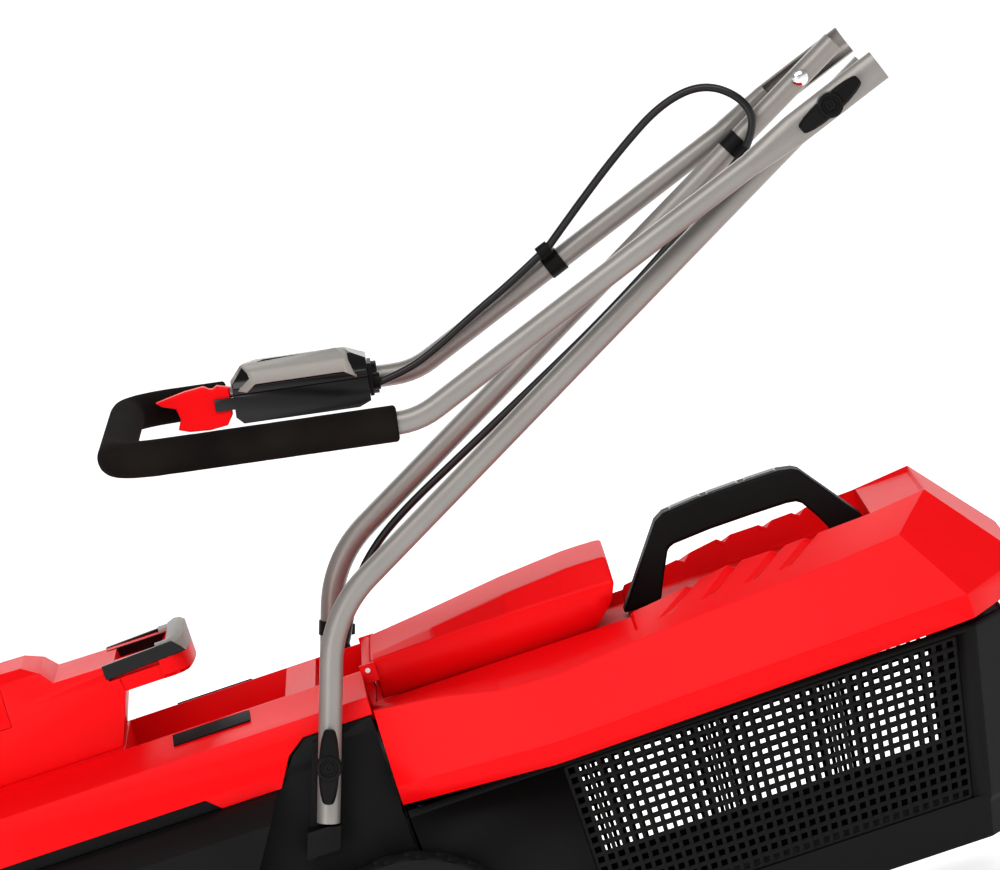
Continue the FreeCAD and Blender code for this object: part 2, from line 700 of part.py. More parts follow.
def lid_body(inset):
    side = [(-33 - inset, 250), (-33 - inset, 380 - inset), (-588, 384 - inset),
            (-655 + inset, 301 - inset), (-650 + inset, 250)]
    section = mirrored_outline([(190 - inset, 250), (190 - inset, 286 - 0.5 * inset),
                                (150 - 0.6 * inset, 346 - inset), (88, 383 - inset)])
    body = prism_y(side, -200, 200).common(prism_x(section, -700, 0))
    corner = prism_z([(-640 + inset, 200), (-700, 200), (-700, 130), (-655 + inset, 160)], 200, 500)
    body = body.cut(corner).cut(flip(corner))
    return body.common(block(-700, 0, -200, 200, LID_RIM_Z if inset == 0 else 250, 420))


def lid_recess(inset):
    """Low front part that the flap covers, and the trough of the handle between its side ridges."""
    low = mirrored_outline([(152, 420), (152, 346 - inset), (88 + inset, 357 - inset),
                            (88 + inset, 346 - inset)])
    under_flap = prism_x(low, -290 - inset, 0)
    under_handle = block(-532 - inset, -280, -86 - inset, 86 + inset, 350 - inset, 420)
    rear_step = block(-584 - inset, -520, -80 - inset, 80 + inset, 378 - inset, 420)
    return under_flap.multiFuse([under_handle, rear_step])


def box_lid():
    outer = lid_body(0).cut(lid_recess(0))
    return outer.cut(lid_body(SHEET).cut(lid_recess(SHEET)))


def basket_ring(front, rear, half, corner, z):
    outline = [(front, -half), (front, half), (rear + corner, half), (rear, half - corner),
               (rear, -half + corner), (rear + corner, -half)]
    points = [vec(x, y, z) for x, y in outline]
    return Part.makePolygon(points + points[:1])


def basket_body(inset):
    low = basket_ring(-44 - inset, -578 + inset, 150 - inset, 30, 60)
    top = basket_ring(-34 - inset, -622 + inset, 168 - inset, 30, 262)
    return Part.makeLoft([low, top], True, True)


def window_point(across, up, edge):
    """Point of the side window in x and z; across runs rearward and up runs upward, both 0 to 1."""
    front = WINDOW_FRONT - edge
    low_rear = WINDOW_LOW_REAR + edge
    top_rear = WINDOW_TOP_REAR + edge
    rear = low_rear + (top_rear - low_rear) * up
    low, high = WINDOW_LOW + edge, WINDOW_HIGH - edge
    return vec(front + (rear - front) * across, 0, low + (high - low) * up)


def box_basket():
    inner = basket_body(SHEET).common(block(-700, 0, -200, 200, 60 + SHEET, 300))
    basket = basket_body(0).cut(inner)
    basket = basket.cut(block(-60, -20, -130, 130, 126, 256))
    corners = [window_point(0, 0, 0), window_point(1, 0, 0), window_point(1, 1, 0),
               window_point(0, 1, 0)]
    window = prism_y([(corner.x, corner.z) for corner in corners], -200, 200)
    return basket.cut(window)


def grille(side):
    """Moulded mesh in the side window; its columns fan out toward the rear."""
    def loop(left, right, bottom, top):
        spots = [(left, bottom), (right, bottom), (right, top), (left, top)]
        points = [window_point(across, up, 0.4) for across, up in spots]
        return Part.makePolygon(points + points[:1])

    loops = [loop(0, 1, 0, 1)]
    across_step, up_step = 1 / (MESH_COLUMNS + 0.4), 1 / (MESH_ROWS + 0.4)
    for column in range(MESH_COLUMNS):
        left = (column + 0.4) * across_step
        for row in range(MESH_ROWS):
            bottom = (row + 0.4) * up_step
            loops.append(loop(left, left + 0.6 * across_step, bottom, bottom + 0.6 * up_step))
    panel = Part.makeFace(loops, "Part::FaceMakerBullseye").extrude(vec(0, -2, 0))
    lean = math.degrees(math.atan2(18.0, 202.0))
    panel.translate(vec(0, 167.4, 0))
    panel.rotate(vec(0, 167.4, 262), vec(1, 0, 0), -lean)
    return panel if side > 0 else flip(panel)


def box_handle():
    outline = [(-283, 350.4), (-339, 425), (-349, 430), (-387, 433.5), (-466, 434), (-483, 429),
               (-529, 368), (-529, 350.4), (-495, 350.4), (-495, 365), (-476, 399.5), (-466, 401.5),
               (-377, 401), (-344, 397), (-321, 350.4)]
    return prism_y(outline, -15, 15)


# ---------------------------------------------------------------- assembly

def make_parts():
    body, bulges, feet = deck_pieces()
    keep("deck_shell", body)
    keep("deck_sides", bulges)
    keep("tube_feet", feet)
    keep("deck_cover", deck_cover())
    keep("motor_hood", motor_hood())
    keep("battery_cover", battery_cover())
    keep("handle_end_cap", handle_end_cap())
    keep("handle_grip_pads", handle_grip_pads())
    keep("side_badges", side_badges())
    keep("motor_housing", motor_housing())
    keep("battery_packs", battery_packs())
    keep("safety_key", safety_key())
    keep("deck_bolts", deck_bolts())
    keep("cable_gland", cable_gland())
    keep("flap_hinge_pin", flap_hinge_pin())
    keep("rear_axle", axle(REAR_CRANK, 0.0, REAR_WHEEL_R))
    keep("front_axle", axle(FRONT_CRANK, FRONT_X, FRONT_WHEEL_R))
    for place, x, radius in (("rear", 0.0, REAR_WHEEL_R), ("front", FRONT_X, FRONT_WHEEL_R)):
        for hand, side in (("left", 1), ("right", -1)):
            tyre, rim, cap = wheel(x, radius, side)
            keep("tyre_" + place + "_" + hand, tyre)
            keep("rim_" + place + "_" + hand, rim)
            keep("hub_cap_" + place + "_" + hand, cap)
    keep("height_lever", height_lever())
    keep("blade", blade())
    keep("blade_carrier", blade_carrier())
    keep("motor_shaft", motor_shaft())
    keep("blade_bolt", blade_bolt())
    keep("lower_tube_left", lower_tube())
    keep("lower_tube_right", flip(lower_tube()))
    keep("upper_bolts", upper_bolts())
    keep("lower_cable_clips", lower_cable_clips())
    lower_run = cord("cable_lower_run", CABLE_LOWER)
    upper_run = cord("cable_upper_run", CABLE_UPPER)
    keep("cable_lower_run", lower_run)
    keep("cable_upper_run", upper_run)
    keep("cable_loop", cord("cable_loop", CABLE_LOOP).cut(lower_run).cut(upper_run))
    keep("cable_deck_run", cord("cable_deck_run", CABLE_DECK).cut(lower_run))
    keep("handlebar", handlebar())
    keep("foam_grip", foam_grip())
    keep("switch_box_body", switch_box_body())
    keep("switch_box_cover", switch_box_cover())
    keep("switch_box_end", switch_box_end())
    keep("trigger_lever", trigger_lever())
    keep("lock_button", lock_button())
    keep("bar_cable_clip", bar_cable_clip())
    for hand, side in (("left", 1), ("right", -1)):
        keep("lower_knob_" + hand, wing_knob(LOWER_PIVOT, 191.4, side, 109.6, 4, 12.5))
        keep("upper_knob_" + hand, wing_knob(UPPER_PIVOT, 209.9, side, 180 - BAR_TILT, 3, 13))
    keep("rear_flap", rear_flap())
    keep("box_lid", box_lid())
    keep("box_basket", box_basket())
    keep("grille_left", grille(1))
    keep("grille_right", grille(-1))
    keep("box_handle", box_handle())


def export_parts():
    low = min(shape.optimalBoundingBox(False).XMin for shape in parts.values())
    high = max(shape.optimalBoundingBox(False).XMax for shape in parts.values())
    shift = -0.5 * (low + high)
    print("shift", round(shift, 4), "from", round(low, 3), "to", round(high, 3))
    os.makedirs("parts", exist_ok=True)
    for name, shape in parts.items():
        if not shape.isValid():
            print("invalid", name)
        moved = shape.copy()
        moved.translate(vec(shift, 0, 0))
        moved.exportStep("parts/" + name + ".step")
    print(len(parts), "nodes")


make_parts()
export_parts()
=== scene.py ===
import json
import math

import bmesh
import bpy
from mathutils import Matrix, Vector, noise


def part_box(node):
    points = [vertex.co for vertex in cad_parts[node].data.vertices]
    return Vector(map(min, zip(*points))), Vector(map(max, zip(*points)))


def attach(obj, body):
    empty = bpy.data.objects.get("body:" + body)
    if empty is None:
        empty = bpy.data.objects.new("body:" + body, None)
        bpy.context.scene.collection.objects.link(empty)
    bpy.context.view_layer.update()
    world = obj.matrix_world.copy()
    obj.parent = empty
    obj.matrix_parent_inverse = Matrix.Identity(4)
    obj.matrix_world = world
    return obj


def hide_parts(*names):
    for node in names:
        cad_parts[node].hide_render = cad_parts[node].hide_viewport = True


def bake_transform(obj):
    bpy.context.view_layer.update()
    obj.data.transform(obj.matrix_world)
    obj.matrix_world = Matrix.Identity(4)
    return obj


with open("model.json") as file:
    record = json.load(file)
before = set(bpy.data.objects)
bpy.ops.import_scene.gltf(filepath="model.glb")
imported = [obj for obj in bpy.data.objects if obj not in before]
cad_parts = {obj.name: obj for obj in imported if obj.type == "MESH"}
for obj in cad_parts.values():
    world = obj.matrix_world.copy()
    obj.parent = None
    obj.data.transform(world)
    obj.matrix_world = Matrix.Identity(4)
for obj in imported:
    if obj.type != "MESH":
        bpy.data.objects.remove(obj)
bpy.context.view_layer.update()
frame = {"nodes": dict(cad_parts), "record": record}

JOINTS = {joint["name"]: joint for joint in frame["record"]["behaviour"]["joints"]}
REAR_AXLE = JOINTS["wheel_rear_left_spin"]["pos_m"][0]
MM = 0.001


def at(x, y, z):
    """Point given in millimetres from the ground under the rear wheel axis."""
    return Vector((REAR_AXLE + x * MM, y * MM, z * MM))


# ---------------------------------------------------------------- camera and light

def make_camera():
    """Long lens from the left side, with the picture rolled so that the handle climbs steeply."""
    aim = at(-225.6, 0, 549.3)
    azimuth, elevation, roll = map(math.radians, (179.17, 7.0, 18.6))
    distance = 6.0255
    data = bpy.data.cameras.new("camera")
    data.lens = 227.6
    data.sensor_width = 36.0
    data.clip_end = 60.0
    camera = bpy.data.objects.new("camera", data)
    bpy.context.collection.objects.link(camera)
    look = Vector((math.sin(math.pi - azimuth) * math.cos(elevation),
                   math.cos(azimuth) * math.cos(elevation), -math.sin(elevation)))
    camera.rotation_mode = "QUATERNION"
    turn = look.to_track_quat("-Z", "Y")
    camera.rotation_quaternion = turn @ Matrix.Rotation(-roll, 3, "Z").to_quaternion()
    camera.location = aim - look * distance
    bpy.context.scene.camera = camera


def area_light(name, place, target, size, power):
    """White rectangular softbox aimed at a point."""
    data = bpy.data.lights.new(name, "AREA")
    data.shape = "RECTANGLE"
    data.size, data.size_y = size
    data.energy = power
    light = bpy.data.objects.new(name, data)
    bpy.context.collection.objects.link(light)
    light.location = place
    light.rotation_mode = "QUATERNION"
    light.rotation_quaternion = (target - place).to_track_quat("-Z", "Y")


def make_studio():
    """Soft daylight that brightens toward the horizon, and three softboxes."""
    world = bpy.data.worlds.new("studio")
    bpy.context.scene.world = world
    world.use_nodes = True
    tree = world.node_tree
    background = tree.nodes["Background"]
    background.inputs["Color"].default_value = (1, 1, 1, 1)
    direction = tree.nodes.new("ShaderNodeTexCoord")
    split = tree.nodes.new("ShaderNodeSeparateXYZ")
    fade = tree.nodes.new("ShaderNodeMapRange")
    for key, value in (("From Min", 0.05), ("From Max", 0.30), ("To Min", 1.05), ("To Max", 0.32)):
        fade.inputs[key].default_value = value
    tree.links.new(direction.outputs["Generated"], split.inputs[0])
    tree.links.new(split.outputs["Z"], fade.inputs["Value"])
    tree.links.new(fade.outputs["Result"], background.inputs["Strength"])
    centre = at(-100, 0, 400)
    area_light("key", at(-300, 1500, 2500), centre, (3.2, 1.3), 44)
    area_light("side", at(1500, 2600, 900), centre, (1.2, 2.0), 17)
    area_light("back", at(-300, -1900, 1700), centre, (3.0, 1.2), 22)
    bpy.context.scene.view_settings.view_transform = "Standard"
    bpy.context.scene.view_settings.look = "Medium High Contrast"
    make_floor()


def make_floor():
    """Wide pale floor that runs out to the bright horizon on every side."""
    wide = 40.0
    mesh = bpy.data.meshes.new("floor")
    mesh.from_pydata([(-wide, -wide, 0), (wide, -wide, 0), (wide, wide, 0), (-wide, wide, 0)], [],
                     [(0, 1, 2, 3)])
    floor = bpy.data.objects.new("floor", mesh)
    bpy.context.collection.objects.link(floor)
    floor.location.z = -0.0005
    material = bpy.data.materials.new("floor")
    material.use_nodes = True
    shader = material.node_tree.nodes["Principled BSDF"]
    shader.inputs["Base Color"].default_value = (0.86, 0.86, 0.86, 1)
    shader.inputs["Roughness"].default_value = 0.9
    shader.inputs["Emission Color"].default_value = (1, 1, 1, 1)
    shader.inputs["Emission Strength"].default_value = 0.62
    mesh.materials.append(material)


# ---------------------------------------------------------------- materials

def material(name, colour, second, rough, grain, bump, metal=0.0):
    """Two-tone noise for colour, a fine noise for roughness and bump."""
    made = bpy.data.materials.new(name)
    made.use_nodes = True
    tree = made.node_tree
    shader = tree.nodes["Principled BSDF"]
    shader.inputs["Metallic"].default_value = metal
    place = tree.nodes.new("ShaderNodeTexCoord")
    broad = tree.nodes.new("ShaderNodeTexNoise")
    broad.inputs["Scale"].default_value = 14.0
    broad.inputs["Detail"].default_value = 4.0
    fine = tree.nodes.new("ShaderNodeTexNoise")
    fine.inputs["Scale"].default_value = grain
    fine.inputs["Detail"].default_value = 3.0
    tree.links.new(place.outputs["Object"], broad.inputs["Vector"])
    tree.links.new(place.outputs["Object"], fine.inputs["Vector"])
    tone = tree.nodes.new("ShaderNodeMix")
    tone.data_type = "RGBA"
    tone.inputs["A"].default_value = (*colour, 1)
    tone.inputs["B"].default_value = (*second, 1)
    tree.links.new(broad.outputs["Fac"], tone.inputs["Factor"])
    tree.links.new(tone.outputs["Result"], shader.inputs["Base Color"])
    spread = tree.nodes.new("ShaderNodeMapRange")
    spread.inputs["To Min"].default_value = rough[0]
    spread.inputs["To Max"].default_value = rough[1]
    tree.links.new(fine.outputs["Fac"], spread.inputs["Value"])
    tree.links.new(spread.outputs["Result"], shader.inputs["Roughness"])
    relief = tree.nodes.new("ShaderNodeBump")
    relief.inputs["Strength"].default_value = bump
    relief.inputs["Distance"].default_value = 0.0004
    tree.links.new(fine.outputs["Fac"], relief.inputs["Height"])
    tree.links.new(relief.outputs["Normal"], shader.inputs["Normal"])
    return made


def make_materials():
    made = {
        "red_moulding": material("red_moulding", (0.78, 0.004, 0.007), (0.70, 0.003, 0.006),
                                 (0.30, 0.44), 1800, 0.14),
        "black_moulding": material("black_moulding", (0.0045, 0.004, 0.004), (0.009, 0.008, 0.008),
                                   (0.40, 0.58), 1500, 0.25),
        "grey_moulding": material("grey_moulding", (0.24, 0.225, 0.205), (0.31, 0.29, 0.27),
                                  (0.42, 0.58), 1500, 0.2),
        "gloss_black": material("gloss_black", (0.004, 0.004, 0.004), (0.007, 0.006, 0.006),
                                (0.10, 0.20), 600, 0.03),
        "badge": material("badge", (0.006, 0.006, 0.007), (0.014, 0.014, 0.015), (0.5, 0.6), 500,
                          0.03),
        "tube_paint": material("tube_paint", (0.215, 0.20, 0.185), (0.26, 0.245, 0.23),
                               (0.32, 0.44), 2600, 0.12, metal=0.35),
        "steel": material("steel", (0.55, 0.55, 0.55), (0.66, 0.66, 0.66), (0.25, 0.4), 900, 0.1,
                          metal=1.0),
        "bolt_zinc": material("bolt_zinc", (0.8, 0.8, 0.8), (0.7, 0.7, 0.72),
                              (0.12, 0.2), 700, 0.05, metal=1.0),
        "foam": material("foam", (0.003, 0.0028, 0.0028), (0.022, 0.018, 0.016),
                         (0.85, 1.0), 700, 1.0),
        "cable": material("cable", (0.004, 0.004, 0.004), (0.007, 0.007, 0.007),
                          (0.25, 0.38), 900, 0.1),
        "tyre": material("tyre", (0.006, 0.006, 0.006), (0.012, 0.012, 0.012),
                         (0.6, 0.8), 1200, 0.3),
        "battery": material("battery", (0.02, 0.02, 0.021), (0.03, 0.03, 0.031),
                            (0.4, 0.6), 1200, 0.2),
        "key_green": material("key_green", (0.05, 0.35, 0.08), (0.07, 0.4, 0.1),
                              (0.4, 0.5), 1200, 0.2),
    }
    for name, level in (("black_moulding", 0.14), ("foam", 0.03), ("cable", 0.45), ("tyre", 0.2),
                        ("red_moulding", 0.12), ("badge", 0.1), ("gloss_black", 0.35)):
        shader = made[name].node_tree.nodes["Principled BSDF"]
        shader.inputs["Specular IOR Level"].default_value = level
    return made


# ---------------------------------------------------------------- making pieces

def smooth_group():
    """Node group that shades every face smooth, so that a bevel can carry the normals."""
    group = bpy.data.node_groups.new("shade_smooth", "GeometryNodeTree")
    group.interface.new_socket("Geometry", in_out="INPUT", socket_type="NodeSocketGeometry")
    group.interface.new_socket("Geometry", in_out="OUTPUT", socket_type="NodeSocketGeometry")
    entry = group.nodes.new("NodeGroupInput")
    leave = group.nodes.new("NodeGroupOutput")
    shade = group.nodes.new("GeometryNodeSetShadeSmooth")
    group.links.new(entry.outputs[0], shade.inputs["Geometry"])
    group.links.new(shade.outputs[0], leave.inputs[0])
    return group


def add_bevel(piece, width, angle=25, segments=3):
    bevel = piece.modifiers.new("bevel", "BEVEL")
    bevel.width = width * MM
    bevel.segments = segments
    bevel.limit_method = "ANGLE"
    bevel.angle_limit = math.radians(angle)
    bevel.harden_normals = True
    bevel.use_clamp_overlap = True


def round_node(name, width, angle=25, segments=3):
    """Moulded edges on a CAD node, made with modifiers only."""
    node = frame["nodes"][name]
    weld = node.modifiers.new("weld", "WELD")
    weld.merge_threshold = 0.00002
    flat = node.modifiers.new("flat", "DECIMATE")
    flat.decimate_type = "DISSOLVE"
    flat.angle_limit = math.radians(1.0)
    smooth = node.modifiers.new("smooth", "NODES")
    smooth.node_group = SMOOTH
    add_bevel(node, width, angle, segments)


def finish_piece(name, mesh, body, slot, nodes=(), bevel=0.0, angle=25, segments=3, solid=0.0):
    """Gives a new mesh its material, edges, body and the CAD nodes that it stands for."""
    for polygon in mesh.polygons:
        polygon.use_smooth = True
    mesh.materials.append(MATERIALS[slot])
    piece = bpy.data.objects.new(name, mesh)
    bpy.context.collection.objects.link(piece)
    if bevel:
        add_bevel(piece, bevel, angle, segments)
    if solid:
        shell = piece.modifiers.new("wall", "SOLIDIFY")
        shell.thickness = solid * MM
        shell.offset = -1.0
    if body:
        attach(piece, body)
    if nodes:
        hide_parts(*nodes)
    return piece


def mesh_of(name, points, faces):
    """Mesh from millimetre points; faces are lists of point numbers."""
    mesh = bpy.data.meshes.new(name)
    mesh.from_pydata([at(*point) for point in points], [], faces)
    shape = bmesh.new()
    shape.from_mesh(mesh)
    bmesh.ops.remove_doubles(shape, verts=shape.verts, dist=0.00001)
    bmesh.ops.recalc_face_normals(shape, faces=shape.faces)
    shape.to_mesh(mesh)
    shape.free()
    return mesh


def rings_mesh(name, rings, closed=True, caps=True):
    """Skin over rings of points; each ring has the same number of points."""
    count = len(rings[0])
    points = [point for ring in rings for point in ring]
    faces = []
    for row in range(len(rings) - 1):
        for column in range(count if closed else count - 1):
            after = (column + 1) % count
            faces.append((row * count + column, row * count + after,
                          (row + 1) * count + after, (row + 1) * count + column))
    if caps and closed:
        faces.append(tuple(range(count)))
        faces.append(tuple((len(rings) - 1) * count + i for i in range(count)))
    return mesh_of(name, points, faces)


def table(value, rows):
    """Straight-line reading of a table of (position, height) rows."""
    rows = sorted(rows)
    if value <= rows[0][0]:
        return rows[0][1]
    for (x0, z0), (x1, z1) in zip(rows, rows[1:]):
        if value <= x1:
            return z0 + (z1 - z0) * (value - x0) / (x1 - x0)
    return rows[-1][1]


# ---------------------------------------------------------------- grass box lid

CREASE = [(-28, 360), (-97, 352), (-152, 340), (-210, 337), (-304, 345), (-475, 354), (-551, 360)]
RIM_TOP = [(-33, 291), (-184, 283), (-321, 287), (-589, 293), (-618, 301)]
RIM_LOW = [(-33, 273), (-184, 263), (-321, 265), (-589, 269), (-618, 273)]
RIDGE = [(-280, 357), (-294, 361), (-342, 367), (-386, 375), (-430, 375), (-527, 378), (-589, 384)]
GROOVES = (-355, -398, -441, -475)


def lid_columns():
    """Columns along the lid: (x at the ridge, x outside the ridge, trough floor, ridge height)."""
    columns = [(x, x, 346, 357) for x in (-33.5, -65, -97, -125, -152, -180, -210, -250, -288)]
    columns.append((-289, -289, 350, 357))
    columns.append((-292, -292, 350, table(-294, RIDGE)))
    columns.append((-318, -302, 350, table(-318, RIDGE)))
    for groove in GROOVES:
        for step in (7, 0, -7):
            x = groove + step
            drop = 5.5 if step == 0 else 0.0
            columns.append((x, x + 35, 350, table(x, RIDGE) - drop))
    columns.append((-505, -484, 350, table(-505, RIDGE)))
    columns.append((-531, -517, 350, table(-531, RIDGE)))
    columns.append((-534, -521, 378, table(-534, RIDGE)))
    columns.append((-560, -545, 378, table(-560, RIDGE)))
    return columns


def lid_half(side):
    """Rows across the lid: trough, ridge, groove ends, crease, rim top and rim edge."""
    rows = []
    for x, out, floor, ridge in lid_columns():
        crease = table(out, CREASE)
        mid = crease + (table(x, RIDGE) - crease) * (150 - 128) / (150 - 88)
        rows.append([(x, 0, floor), (x, side * 86, floor), (x, side * 89, ridge),
                     (out, side * 128, mid), (out, side * 150, crease),
                     (x, side * 190, table(x, RIM_TOP)), (x, side * 190, table(x, RIM_LOW))])
    rows.append([(-586, 0, 379), (-586, side * 84, 379), (-589, side * 89, 384),
                 (-564.5, side * 128, 369), (-551, side * 150, 360), (-592, side * 190, 293),
                 (-592, side * 190, 270)])
    return rows


def box_lid():
    """Lid with a trough for the handle, grooved side ridges and a sloping rear."""
    points, faces = [], []
    for side in (1, -1):
        rows = lid_half(side)
        start = len(points)
        width = len(rows[0])
        points.extend(point for row in rows for point in row)
        for row in range(len(rows) - 1):
            for column in range(width - 1):
                at_row = start + row * width + column
                faces.append((at_row, at_row + 1, at_row + 1 + width, at_row + width))
        last = start + (len(rows) - 1) * width
        tail = len(points)
        points.extend([(-655, side * 118, 300), (-655, side * 118, 276), (-655, 0, 300),
                       (-655, 0, 276), (-589, 0, 384)])
        faces.append((last + 2, last + 3, last + 4, last + 5, tail))
        faces.append((last + 5, last + 6, tail + 1, tail))
        faces.append((tail, tail + 1, tail + 3, tail + 2))
        faces.append((last + 2, tail, tail + 2, tail + 4))
        faces.append((last, last + 1, last + 2, tail + 4))
    mesh = mesh_of("lid", points, faces)
    finish_piece("grass_box_lid", mesh, "grass_box", "red_moulding", ["box_lid"], bevel=2.6,
                 angle=7, segments=4, solid=3.0)


# ---------------------------------------------------------------- foam grip

GRIP_RISE = math.radians(10.4)
GRIP_HALF = 204.0          # half the distance between the grip's arms
FOAM_RADIUS = 17.0
FOAM_LEFT_END, FOAM_RIGHT_END = -143, 20
CROSSBAR_HEIGHT = 662.56


def foam_path():
    """Middle line of the foam: two arms, two round corners and the crossbar."""
    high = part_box("foam_grip")[1]
    rise = math.tan(GRIP_RISE)
    reach = (high.x - REAR_AXLE) / MM - FOAM_RADIUS
    radius, half = 45.0, GRIP_HALF
    line = []
    for step in range(47):
        line.append((FOAM_LEFT_END + (reach - radius - FOAM_LEFT_END) * step / 46, half))
    for sign in (1, -1):
        for step in range(1, 13):
            turn = math.radians(90 * step / 12)
            if sign < 0:
                turn = math.radians(90) - turn
            line.append((reach - radius + radius * math.sin(turn),
                         sign * (half - radius + radius * math.cos(turn))))
        if sign > 0:
            for step in range(1, 64):
                line.append((reach, half - radius - 2 * (half - radius) * step / 64))
    for step in range(1, 12):
        line.append((reach - radius - (reach - radius - FOAM_RIGHT_END) * step / 11, -half))
    return [(x, y, CROSSBAR_HEIGHT + (x - reach) * rise) for x, y in line]


def foam_grip():
    """Foam sleeve with a lightly pitted skin and rounded ends."""
    line = [Vector(point) for point in foam_path()]
    rings = []
    around = 44
    flat = Vector((-math.sin(GRIP_RISE), 0, math.cos(GRIP_RISE)))
    ends = [(0, 11.3), (0, 13.8), (0.9, 15.9), (2.6, FOAM_RADIUS)]
    for index, point in enumerate(line):
        ahead = line[min(index + 1, len(line) - 1)] - line[max(index - 1, 0)]
        ahead.normalize()
        side = flat.cross(ahead).normalized()
        shells = [(0, FOAM_RADIUS)]
        if index == 0:
            shells = ends
        if index == len(line) - 1:
            shells = [(-shift, radius) for shift, radius in reversed(ends)]
        for shift, radius in shells:
            ring = []
            for corner in range(around):
                turn = 2 * math.pi * corner / around
                away = side * math.cos(turn) + flat * math.sin(turn)
                spot = point + ahead * shift
                rough = noise.noise((spot + away * FOAM_RADIUS) * 0.35) * 0.22
                rough += noise.noise((spot + away * FOAM_RADIUS) * 0.05) * 0.30
                pit = min(rough, 0) if radius == FOAM_RADIUS else 0.0
                ring.append(spot + away * (radius + pit))
            rings.append(ring)
    piece = finish_piece("grip_foam", rings_mesh("grip_foam", rings, caps=False), "handlebar",
                         "foam", ["foam_grip"])


# ---------------------------------------------------------------- cable

CABLE_RADIUS = 4.0
CABLE_LOWER = [(-535, -160, 716), (-449, -163, 658), (-353, -167, 604), (-264, -171, 561),
               (-182, -173, 522), (-112, -173, 489), (-72, -173, 464), (-42, -173, 434),
               (-24, -172, 400)]
CABLE_UPPER = [(-127, -184, 614), (-156, -184, 616), (-192, -184, 628), (-236, -185, 648),
               (-284, -186, 667), (-326, -188, 687)]
CABLE_LOOP = [(-326, -188, 687), (-372, -184, 721), (-424, -178, 757), (-475, -171, 787),
              (-520, -165, 793), (-552, -161, 768), (-556, -160, 737), (-535, -160, 716)]
CABLE_DECK = [(-24, -172, 400), (-20, -161, 391), (-12, -147, 380)]


def cable(name, route, node, body):
    """Smooth cable over its route; with a body of None it is attached to no body."""
    curve = bpy.data.curves.new(name, "CURVE")
    curve.dimensions = "3D"
    curve.bevel_depth = CABLE_RADIUS * MM
    curve.bevel_resolution = 6
    curve.resolution_u = 12
    line = curve.splines.new("NURBS")
    line.points.add(len(route) - 1)
    for point, place in zip(line.points, route):
        point.co = (*at(*place), 1.0)
    line.order_u = 3
    line.use_endpoint_u = True
    drawn = bpy.data.objects.new(name + "_line", curve)
    mesh = bpy.data.meshes.new_from_object(drawn)
    bpy.data.objects.remove(drawn)
    mesh.name = name
    return finish_piece(name, mesh, body, "cable", [node])


def cables():
    """Two runs held by clips, and two free lengths that are attached to no body."""
    cable("cable_on_lower_tube", CABLE_LOWER, "cable_lower_run", "lower_frame")
    cable("cable_on_handle", CABLE_UPPER, "cable_upper_run", "handlebar")
    loop = cable("cable_free_loop", CABLE_LOOP, "cable_loop", None)
    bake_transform(loop)
    drop = cable("cable_into_deck", CABLE_DECK, "cable_deck_run", None)
    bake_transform(drop)


# ---------------------------------------------------------------- knobs

LOWER_KNOB_ANGLE = 109.6
UPPER_KNOB_ANGLE = -23.5


def turned_rings(profile, count):
    """Rings of (across, across, along) points from (radius, along) steps."""
    turns = [2 * math.pi * i / count for i in range(count)]
    return [[(radius * math.cos(turn), radius * math.sin(turn), along) for turn in turns]
            for radius, along in profile]


def knob_parts():
    """Hub with a recessed face, and two wings that thin toward their tips."""
    hub = [(12.0, 0), (12.0, 13.5), (11.4, 14.6), (9.2, 15.0), (8.4, 14.6), (8.0, 13.2),
           (5.6, 13.0), (5.2, 13.8), (4.6, 14.2), (2.6, 14.2), (2.2, 13.2), (0.01, 13.0)]
    parts = [turned_rings(hub, 40)]
    outline = [(7, 9.4, 13.2), (16, 8.8, 12.4), (26, 7.4, 10.8), (33, 5.4, 9.4), (35, 3.6, 8.8)]
    for sign in (1, -1):
        loops = []
        for along, half, top in outline:
            loops.append([(sign * along, half, 3), (sign * along, half, top - 2.4),
                          (sign * along, half - 2.4, top), (sign * along, 2.4 - half, top),
                          (sign * along, -half, top - 2.4), (sign * along, -half, 3)])
        parts.append(loops)
    return parts


def wing_knob(name, body, side, angle):
    """Wing knob against the tube, its wings turned to an angle."""
    place = Vector(JOINTS[body]["pos_m"])
    low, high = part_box(body)
    base = low.y if side > 0 else high.y
    along = Vector((math.cos(math.radians(angle)), 0, math.sin(math.radians(angle))))
    out = Vector((0, side, 0))
    across = out.cross(along)
    points, faces = [], []
    for loops in knob_parts():
        start = len(points)
        count = len(loops[0])
        for loop in loops:
            for u, v, w in loop:
                offset = along * u + across * v + out * w
                points.append(Vector((place.x, base, place.z)) + offset * MM)
        for row in range(len(loops) - 1):
            for column in range(count):
                after = (column + 1) % count
                near, far = start + row * count, start + (row + 1) * count
                faces.append((near + column, near + after, far + after, far + column))
        faces.append(tuple(start + i for i in range(count)))
        faces.append(tuple(start + (len(loops) - 1) * count + i for i in range(count)))
    mesh = bpy.data.meshes.new(name)
    mesh.from_pydata(points, [], faces)
    shape = bmesh.new()
    shape.from_mesh(mesh)
    bmesh.ops.recalc_face_normals(shape, faces=shape.faces)
    shape.to_mesh(mesh)
    shape.free()
    finish_piece(name, mesh, body, "black_moulding", [body], bevel=0.7, angle=28, segments=2)


def knobs():
    """Two knobs at the feet of the tubes and two at the upper pivots."""
    for hand, side in (("left", 1), ("right", -1)):
        wing_knob("wing_nut_low_" + hand, "lower_knob_" + hand, side, LOWER_KNOB_ANGLE)
        wing_knob("wing_nut_top_" + hand, "upper_knob_" + hand, side, UPPER_KNOB_ANGLE)


# ---------------------------------------------------------------- grass box

